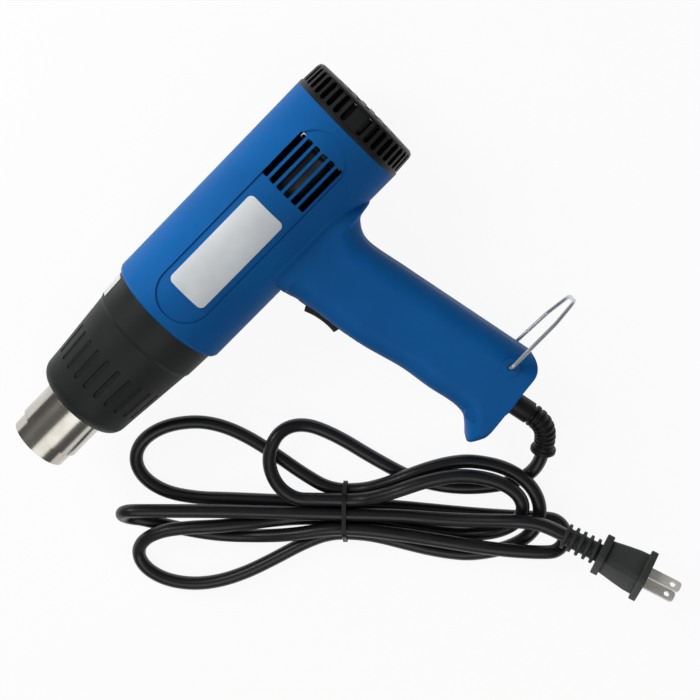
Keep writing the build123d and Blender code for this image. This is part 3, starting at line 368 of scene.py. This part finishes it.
finishOfNode = {
    "housing_left": "blueHousing", "housing_right": "blueHousing", "housing_screws": "screenSteel",
    "label_plate": "labelSilver", "front_collar": "blackCollar", "collar_sticker": "stickerWhite",
    "nozzle_tube": "nozzleSteel", "mica_sleeve": "micaSheet", "heater_frame": "micaSheet",
    "heater_coil": "heaterWire", "heater_base_disc": "ceramicWhite", "thermal_cutout": "cutoutCan",
    "air_duct": "ductPlastic", "fan_impeller": "fanPlastic", "motor_shaft": "motorSteel",
    "motor_mount": "motorSteel", "motor_can": "motorSteel", "circuit_board": "circuitGreen",
    "rear_cap": "blackPlastic", "intake_screen": "screenSteel", "switch_body": "blackPlastic",
    "rocker_button": "blackPlastic", "switch_terminals": "brassTab", "bail_wire": "bailSteel",
    "cord_tail": "cordRubber", "cord_clamp": "blackPlastic", "clamp_screws": "zincScrew",
    "wire_harness": "wireWhite", "strain_relief": "reliefRubber", "power_lead": "cordRubber",
    "cord_hank": "cordRubber", "plug_lead": "cordRubber", "twist_tie": "tieBlack",
    "plug_body": "plugPlastic", "plug_blades": "bladeNickel",
}


def dressNodes():
    for name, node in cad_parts.items():
        node.data.materials.clear()
        node.data.materials.append(finishes[finishOfNode[name]])


dressNodes()
print("nodes dressed")


# Cord: one smooth line from the strain relief through the tied bundle to the plug

cordSettings = {  # millimetres, and the real length in metres
    "radius": 4.0,
    "length": 1.969,
    "bundlePlace": (-45.2, -83.7699),
    "bundleTurn": -45.0,
    "lay": 4.3,
    "crossingRise": 9.0,
    "upperRise": 7.4,
    "pitch": 8.6,
    "low": 6.0,
    "high": 13.6,
    "waist": 9.0,
    "beyondWaist": 8.0,
    "drawIn": 1.3,
    "sideSteps": 5,
    "noseSteps": 6,
    "smoothness": 8,
    "roundness": 6,
}
lay, low, high = cordSettings["lay"], cordSettings["low"], cordSettings["high"]
crossing = lay + cordSettings["crossingRise"]  # over one strand
upper = crossing + cordSettings["upperRise"]  # over two
loopPlaces = 2 * cordSettings["sideSteps"] + cordSettings["noseSteps"] - 1

strandPlaces = {  # half pitches across the tie, height
    "lead": (2, high), "first": (-1, low), "second": (-3, low), "third": (3, low),
    "fourth": (1, low), "fifth": (-2, high), "plug": (0, high),
}
loopSizes = [  # side, shoulder, nose, strand in, strand out, sides of the ways out and back, bow
    (1, 70.0, 33.0, "lead", "first", 26.0, -12.5, 0.0),
    (-1, 92.0, 32.0, "first", "second", -9.5, -46.5, 1.0),
    (1, 74.0, 39.0, "second", "third", -24.5, 33.0, 0.0),
    (-1, 88.0, 37.0, "third", "fourth", 52.0, 6.0, 0.0),
    (1, 117.0, 10.0, "fourth", "fifth", -2.0, -19.0, 0.0),
    (-1, 121.0, 10.0, "fifth", "plug", -7.5, 1.5, -8.8),
]
loopHeights = [
    (18.2, upper + 0.6, upper + 0.6, upper + 0.6, upper, 20.5, 19.0, 17.0, 14.6, 9.6,
     4.9, lay, lay, lay, lay),
    (lay, 6.0, 10.8, crossing + 0.2, crossing + 0.4, 13.4, 10.0, 5.5, lay, lay,
     lay, lay, lay, lay, lay),
    (lay, lay, lay, lay, lay, lay, 11.2, crossing + 0.8, crossing, crossing,
     crossing, crossing, crossing + 0.2, crossing + 0.2, 10.6),
    (lay,) * loopPlaces,
    (lay, lay, lay, lay, lay, 4.9, 6.8, 10.0, 13.0, 15.6,
     17.0, 17.4, 15.5, crossing + 0.3, crossing + 0.3),
    (10.5, lay, lay, lay, lay, 5.4, 8.3, 12.3, 16.3, 19.2,
     20.3, 18.5, 16.0, 14.5, 13.8),
]
leadPoints = [  # strain relief to the tie: along the bundle, across it, height
    (113.0, 38.0, 9.0), (111.5, 28.0, 5.2), (97.0, 18.0, lay), (68.0, 14.2, lay),
    (41.0, 18.5, lay), (17.0, 31.0, lay), (-6.0, 45.0, lay), (-25.0, 52.5, 7.0),
    (-39.0, 48.0, crossing), (-44.8, 32.0, high), (-40.0, 17.0, 13.8), (-29.0, 8.6, high),
]
plugPoints = [  # tie to the plug
    (32.0, 0.0, high), (55.0, -1.0, 15.5), (77.0, -0.6, 19.4), (93.7, 0.7, 23.4),
    (105.7, 0.9, 25.4), (115.4, -1.4, 25.3), (124.6, -5.6, 27.4),
]


def fromBundle(point):
    turn = radians(cordSettings["bundleTurn"])
    u, v, z = point
    x = cordSettings["bundlePlace"][0] + u * cos(turn) - v * sin(turn)
    y = cordSettings["bundlePlace"][1] + u * sin(turn) + v * cos(turn)
    return Vector((x, y, z)) * mm


def strandAt(name):
    across, height = strandPlaces[name]
    return across * cordSettings["pitch"] / 2, height


def sidePoint(share, shoulder, waistSide, loopSide, bow):
    wide = sin(share * pi / 2) ** cordSettings["drawIn"]
    u = cordSettings["waist"] + (shoulder - cordSettings["waist"]) * share
    return u, waistSide + (loopSide - waistSide) * wide + bow * sin(pi * share)


def loopPoints(sizes, heights):
    side, shoulder, nose, wayIn, wayOut, outSide, backSide, bow = sizes
    steps, noseSteps = cordSettings["sideSteps"], cordSettings["noseSteps"]
    points = []
    for k in range(1, steps + 1):
        points.append(sidePoint(k / steps, shoulder, strandAt(wayIn)[0], outSide, bow))
    middle, half = (outSide + backSide) / 2, (outSide - backSide) / 2
    for k in range(1, noseSteps):
        turn = pi * k / noseSteps
        points.append((shoulder + nose * sin(turn), middle + half * cos(turn)))
    for k in range(steps, 0, -1):
        points.append(sidePoint(k / steps, shoulder, strandAt(wayOut)[0], backSide, 0.0))
    return [(side * u, v, height) for (u, v), height in zip(points, heights)]


def cordLine():
    waist = cordSettings["waist"]
    beyond = waist + cordSettings["beyondWaist"]
    v, height = strandAt("lead")
    points = leadPoints + [(-beyond, v, height), (-waist, v, height), (waist, v, height)]
    for sizes, heights in zip(loopSizes, loopHeights):
        points += loopPoints(sizes, heights)
        side, strandOut = sizes[0], sizes[4]
        v, height = strandAt(strandOut)
        points += [(side * waist, v, height), (-side * waist, v, height)]
    points.append((beyond, v, height))
    return [fromBundle(point) for point in points + plugPoints]


def makeCord():
    line = cordLine()
    data = bpy.data.curves.new("mains_cord", "CURVE")
    data.dimensions = "3D"
    spline = data.splines.new("NURBS")
    spline.points.add(len(line) - 1)
    for point, place in zip(spline.points, line):
        point.co = (*place, 1.0)
    spline.order_u = 3
    spline.use_endpoint_u = True
    spline.resolution_u = cordSettings["smoothness"]
    data.resolution_u = cordSettings["smoothness"]
    data.bevel_depth = cordSettings["radius"] * mm
    data.bevel_resolution = cordSettings["roundness"]
    data.use_fill_caps = True
    cord = bpy.data.objects.new("mains_cord", data)
    bpy.context.scene.collection.objects.link(cord)
    data.materials.append(finishes["cordRubber"])
    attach(cord, "housing")
    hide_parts("power_lead", "cord_hank", "plug_lead")
    return cord


cord = makeCord()
print("cord laid:", len(cord.data.splines[0].points), "points")


# Solids grown from a flat outline, one extrusion for each station along Z

outlineSettings = {"sides": 48, "cornerSteps": 5, "edgeAngle": 35.0, "smoothAngle": 40.0}


def roundOutline(name, radius):
    bpy.ops.object.select_all(action="DESELECT")
    bpy.ops.mesh.primitive_circle_add(vertices=outlineSettings["sides"], radius=radius * mm, fill_type="NGON")
    bpy.context.active_object.name = name
    return bpy.context.active_object


def squareOutline(name, halfWidth, halfHeight, rounding):
    bpy.ops.object.select_all(action="DESELECT")
    bpy.ops.mesh.primitive_plane_add(size=2 * mm)
    piece = bpy.context.active_object
    piece.name = name
    bpy.ops.object.mode_set(mode="EDIT")
    bpy.ops.mesh.select_all(action="SELECT")
    bpy.ops.transform.resize(value=(halfWidth, halfHeight, 1.0), center_override=(0.0, 0.0, 0.0))
    bpy.ops.mesh.bevel(affect="VERTICES", offset=rounding * mm, segments=outlineSettings["cornerSteps"])
    bpy.ops.object.mode_set(mode="OBJECT")
    return piece


def growSolid(piece, stations):  # height, half width and half height, and the first is the outline's own
    bpy.ops.object.mode_set(mode="EDIT")
    bpy.ops.mesh.select_all(action="SELECT")
    bpy.ops.transform.translate(value=(0.0, 0.0, stations[0][0] * mm))
    for before, after in zip(stations, stations[1:]):
        rise = (0.0, 0.0, (after[0] - before[0]) * mm)
        bpy.ops.mesh.extrude_region_move(TRANSFORM_OT_translate={"value": rise})
        ratios = (after[1] / before[1], after[2] / before[2], 1.0)
        bpy.ops.transform.resize(value=ratios, center_override=(0.0, 0.0, after[0] * mm))
    bpy.ops.mesh.select_all(action="SELECT")
    bpy.ops.mesh.normals_make_consistent(inside=False)
    bpy.ops.object.mode_set(mode="OBJECT")


def growRound(piece, stations):
    growSolid(piece, [(height, radius, radius) for height, radius in stations])


def applyModifier(piece, kind, **settings):
    bpy.ops.object.select_all(action="DESELECT")
    piece.select_set(True)
    bpy.context.view_layer.objects.active = piece
    modifier = piece.modifiers.new(kind.lower(), kind)
    for key, value in settings.items():
        setattr(modifier, key, value)
    bpy.ops.object.modifier_apply(modifier=modifier.name)
    bpy.ops.object.shade_smooth_by_angle(angle=radians(outlineSettings["smoothAngle"]))


def softenEdges(piece, width, segments, angle=outlineSettings["edgeAngle"]):
    applyModifier(piece, "BEVEL", width=width * mm, segments=segments, limit_method="ANGLE",
                  angle_limit=radians(angle), use_clamp_overlap=True)


# Strain relief: a plain sleeve, then ribs that thin towards the flared head

reliefSettings = {
    "root": (70.227, -100.072, 22.27),
    "rootWay": (0.19423, -0.97773, -0.07957),
    "inside": 4.0,
    "sleeve": 14.0,
    "sleeveRadius": 6.5,
    "core": 5.1,
    "ribs": 8,
    "ribStart": 6.5,
    "ribEnd": 5.9,
    "ribShare": 0.6,
    "ramp": 0.35,
    "head": 3.4,
    "headRadius": 7.3,
    "headEntry": [(0.2, -0.5), (0.9, 0.0)],  # from the head's start, and from its radius
    "headExit": [(-0.6, 0.0), (0.0, -0.8)],  # from the end
    "mouth": (0.05, 4.2),
    "edge": (0.22, 2),
    "bend": 12.5,
    "smoothness": 48,
}


def reliefGuide():
    look = reliefSettings
    root, way = Vector(look["root"]) * mm, Vector(look["rootWay"])
    end = fromBundle(leadPoints[0])
    onward = (fromBundle(leadPoints[1]) - end).normalized()
    turnStart = root + way * look["sleeve"] * mm
    back = root - way * look["inside"] * mm
    data = bpy.data.curves.new("relief_guide", "CURVE")
    data.dimensions = "3D"
    data.resolution_u = look["smoothness"]
    spline = data.splines.new("BEZIER")
    spline.bezier_points.add(2)
    reach = look["bend"] * mm  # handles, a third of it on the straight sleeve
    handles = [
        (back, back - way * reach, back + way * reach / 3),
        (turnStart, turnStart - way * reach / 3, turnStart + way * reach),
        (end, end - onward * reach, end + onward * reach)]
    for point, (place, left, right) in zip(spline.bezier_points, handles):
        point.handle_left_type = point.handle_right_type = "FREE"
        point.co, point.handle_left, point.handle_right = place, left, right
    guide = bpy.data.objects.new("relief_guide", data)
    bpy.context.scene.collection.objects.link(guide)
    return guide, spline.calc_length() / mm


def reliefStations(length):
    look = reliefSettings
    start = look["inside"] + look["sleeve"]
    core, ramp, head = look["core"], look["ramp"], look["headRadius"]
    stations = [(0.0, look["sleeveRadius"]), (start, look["sleeveRadius"]), (start + ramp, core)]
    pitch = (length - look["head"] - start - ramp) / look["ribs"]
    for rib in range(look["ribs"]):
        first = start + ramp + pitch * (rib + (1 - look["ribShare"]))
        last = first + pitch * look["ribShare"]
        radius = look["ribStart"] + (look["ribEnd"] - look["ribStart"]) * rib / (look["ribs"] - 1)
        stations += [(first, core), (first + ramp, radius), (last - ramp, radius), (last, core)]
    stations.pop()  # the last rib runs on into the head
    stations += [(length - look["head"] + along, head + out) for along, out in look["headEntry"]]
    stations += [(length + along, head + out) for along, out in look["headExit"]]
    return stations + [(length + look["mouth"][0], look["mouth"][1])]


def makeRelief():
    guide, length = reliefGuide()
    relief = roundOutline("cord_relief", reliefSettings["sleeveRadius"])
    growRound(relief, reliefStations(length))
    softenEdges(relief, *reliefSettings["edge"])
    applyModifier(relief, "CURVE", object=guide, deform_axis="POS_Z")
    bpy.data.objects.remove(guide)
    relief.data.materials.append(finishes["reliefRubber"])
    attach(relief, "housing")
    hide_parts("strain_relief")


makeRelief()
print("strain relief made")


# Plug: ribbed tail, rear flange, swelling grip and a broad face round the blades

plugSettings = {
    "roll": 49.0,
    "tail": 22.0,
    "tailRadius": 5.2,
    "tailLip": 0.4,
    "tailOverlap": 0.5,
    "fins": 5,
    "finRadius": 7.4,
    "finWidth": 2.0,
    "finRamp": 0.3,
    "flange": (21.6, 25.8, 10.6, 8.8),
    "grip": [(25.3, 8.6, 7.3), (29.3, 9.1, 7.8), (35.0, 10.0, 8.5), (41.4, 10.9, 9.1), (47.2, 11.2, 9.2)],
    "face": (46.4, 50.4, 13.1, 10.8),
    "rounding": 2.6,
    "tailEdge": (0.3, 2),  # edges as width and steps, the grip's with its least angle
    "plateEdge": (0.6, 3),
    "gripEdge": (0.3, 2, 60.0),
}


def plugMatrix():
    before, place = fromBundle(plugPoints[-2]), fromBundle(plugPoints[-1])
    along = (place - before).normalized()
    level = Vector((0.0, 0.0, 1.0)).cross(along).normalized()
    turn = radians(plugSettings["roll"])
    across = level * cos(turn) + along.cross(level) * sin(turn)
    turned = Matrix((across, along.cross(across), along)).transposed().to_4x4()
    return Matrix.Translation(place) @ turned


def plugTail():
    look = plugSettings
    root, rim, ramp = look["tailRadius"], look["finRadius"], look["finRamp"]
    pitch = look["tail"] / look["fins"]
    stations = [(0.0, root - look["tailLip"])]
    for fin in range(look["fins"]):
        first = pitch * fin + look["tailLip"]
        last = first + look["finWidth"]
        stations += [(first, root), (first + ramp, rim), (last, rim), (last + ramp, root)]
    stations.append((look["tail"] + look["tailOverlap"], root))
    tail = roundOutline("plug_tail", stations[0][1])
    growRound(tail, stations)
    softenEdges(tail, *look["tailEdge"])
    return tail


def plugPlate(name, first, last, halfWidth, halfHeight):
    plate = squareOutline(name, halfWidth, halfHeight, plugSettings["rounding"])
    growSolid(plate, [(first, halfWidth, halfHeight), (last, halfWidth, halfHeight)])
    softenEdges(plate, *plugSettings["plateEdge"])
    return plate


def plugGrip():
    stations = plugSettings["grip"]
    grip = squareOutline("plug_grip", stations[0][1], stations[0][2], plugSettings["rounding"])
    growSolid(grip, stations)
    softenEdges(grip, *plugSettings["gripEdge"])
    return grip


def makePlug():
    tail = plugTail()
    flange = plugPlate("plug_flange", *plugSettings["flange"])
    grip = plugGrip()
    face = plugPlate("plug_face", *plugSettings["face"])
    bpy.ops.object.select_all(action="DESELECT")
    for part in (tail, flange, grip, face):
        part.select_set(True)
    bpy.context.view_layer.objects.active = grip
    bpy.ops.object.join()
    grip.name = "mains_plug"
    grip.data.transform(plugMatrix())
    grip.data.materials.append(finishes["plugPlastic"])
    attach(grip, "housing")
    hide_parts("plug_body")
    return grip


plug = makePlug()
print("plug made")

tuple(fromBundle(leadPoints[0]))


# Table, lamps and room: white to the camera, and dimmer where the table and the room light the tool

white = (1.0, 1.0, 1.0, 1.0)
stageSettings = {
    "floorSize": 3.0,
    "floorShade": (0.86, 0.86, 0.86, 1.0),
    "floorRough": 0.7,
    "background": 1.0,
    "glowShare": 0.92,  # the rest is paper that takes the shadow
    "zenith": 0.17,
    "horizon": 0.1,
    "rise": (0.05, 0.75),
}
lampSettings = {  # only the mirrored lamps are seen in shiny surfaces
    "key_lamp": {"place": (-0.25, 1.05, 0.5), "target": (0.0, 0.05, 0.03),
                 "size": 0.8, "watts": 13.0, "mirrored": False},
    "fill_lamp": {"place": (0.45, -1.0, 0.5), "target": (0.0, 0.0, 0.03),
                  "size": 0.6, "watts": 2.6, "mirrored": False},
    "card_lamp": {"place": (-0.52, -0.42, 1.0), "target": (-0.12, 0.07, 0.03),
                  "size": 0.8, "watts": 2.7, "mirrored": True},
    "sheen_lamp": {"place": (-0.15, 0.85, 0.95), "target": (0.0, -0.05, 0.03),
                   "size": 0.3, "watts": 2.3, "mirrored": True},
}


def paleFloor():
    bpy.ops.object.select_all(action="DESELECT")
    bpy.ops.mesh.primitive_plane_add(size=stageSettings["floorSize"], location=(0.0, 0.0, 0.0))
    floor = bpy.context.active_object
    floor.name = "table_top"
    finish = newFinish("tablePaper")
    paper = finish.node("ShaderNodeBsdfPrincipled", {}, {
        "Base Color": stageSettings["floorShade"], "Roughness": stageSettings["floorRough"]})
    glow = finish.node("ShaderNodeEmission", {}, {
        "Color": white, "Strength": stageSettings["background"]})
    seen = finish.node("ShaderNodeLightPath", {}, {}, "Is Camera Ray")
    glossy = finish.node("ShaderNodeLightPath", {}, {}, "Is Glossy Ray")
    through = finish.node("ShaderNodeLightPath", {}, {}, "Is Transmission Ray")
    share = (seen + glossy + through).clamp() * stageSettings["glowShare"]
    mixed = finish.node("ShaderNodeMixShader", {}, {0: share, 1: paper, 2: glow})
    finish.node("ShaderNodeOutputMaterial", {}, {"Surface": mixed})
    floor.data.materials.append(finish.owner)


def softLamp(name, look):
    data = bpy.data.lights.new(name, "AREA")
    data.shape = "SQUARE"
    data.size = look["size"]
    data.energy = look["watts"]
    lamp = bpy.data.objects.new(name, data)
    bpy.context.scene.collection.objects.link(lamp)
    way = Vector(look["target"]) - Vector(look["place"])
    lamp.location = look["place"]
    lamp.rotation_euler = way.to_track_quat("-Z", "Y").to_euler()
    lamp.visible_glossy = look["mirrored"]


def roomLight():
    world = bpy.data.worlds.new("studio_room")
    bpy.context.scene.world = world
    room = Finish(world)
    way = room.node("ShaderNodeTexCoord", {}, {}, "Generated")
    height = room.node("ShaderNodeSeparateXYZ", {}, {"Vector": way}, "Z")
    share = room.ramp(height, *stageSettings["rise"])
    level = stageSettings["horizon"] - (stageSettings["horizon"] - stageSettings["zenith"]) * share
    plain = room.node("ShaderNodeBackground", {}, {"Color": white, "Strength": level})
    bright = room.node("ShaderNodeBackground", {}, {
        "Color": white, "Strength": stageSettings["background"]})
    seen = room.node("ShaderNodeLightPath", {}, {}, "Is Camera Ray")
    mixed = room.node("ShaderNodeMixShader", {}, {0: seen, 1: plain, 2: bright})
    room.node("ShaderNodeOutputWorld", {}, {"Surface": mixed})


paleFloor()
for name, look in lampSettings.items():
    softLamp(name, look)
roomLight()
bpy.context.scene.view_settings.view_transform = "Standard"
print("table and light set")
